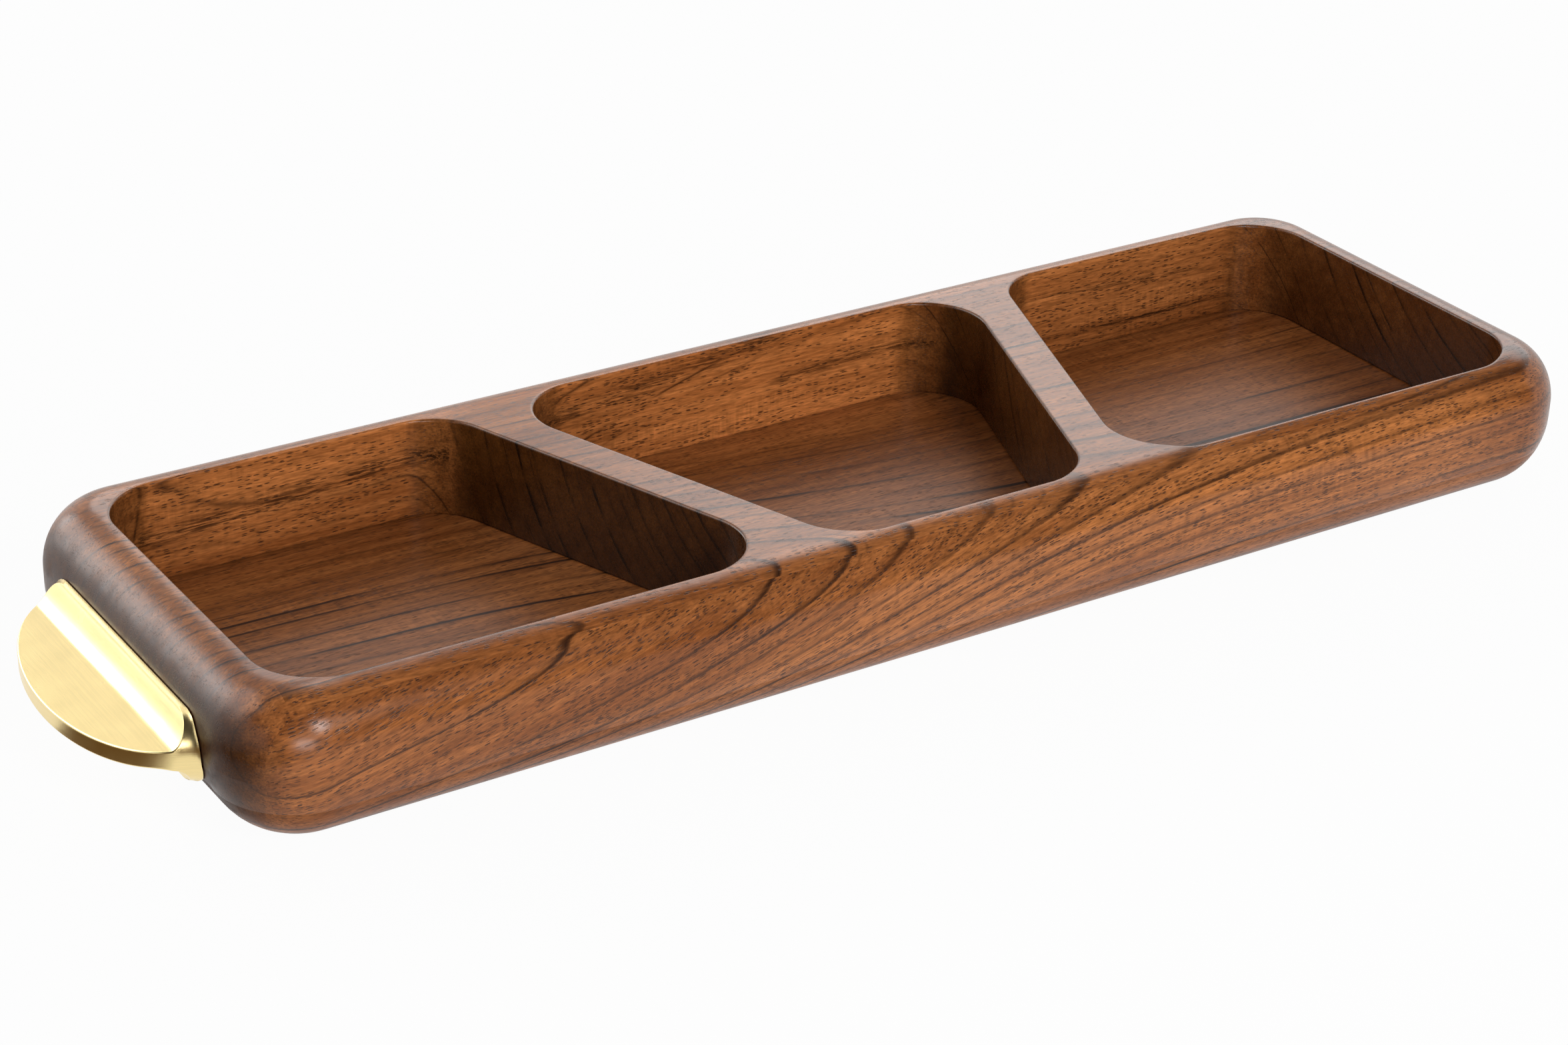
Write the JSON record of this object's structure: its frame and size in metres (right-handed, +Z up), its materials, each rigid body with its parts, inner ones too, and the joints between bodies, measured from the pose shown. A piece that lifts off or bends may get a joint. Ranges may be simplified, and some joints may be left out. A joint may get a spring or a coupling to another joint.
{
  "type": "appetizer serving tray",
  "caption": "Long shallow hardwood serving tray with pillowed edges, pockets parted by slanted dividers, and a half-moon brass tab handle on each end.",
  "frame": {"origin": "middle of the underside, on the surface that the tray stands on", "axes": "+X along the tray towards its right end as seen from the front, +Y towards the back, +Z up"},
  "size_m": [0.442, 0.135, 0.04],
  "materials": {
    "frame_wood": "satin lacquer",
    "base_wood": "satin lacquer",
    "brass": "brushed and polished",
    "steel": "plain"
  },
  "bodies": {
    "root": {"tray_frame": "frame_wood", "base_panel": "base_wood", "handle_left": "brass", "handle_right": "brass", "stud_left_front": "steel", "stud_left_back": "steel", "stud_right_front": "steel", "stud_right_back": "steel"}
  },
  "joints": []
}
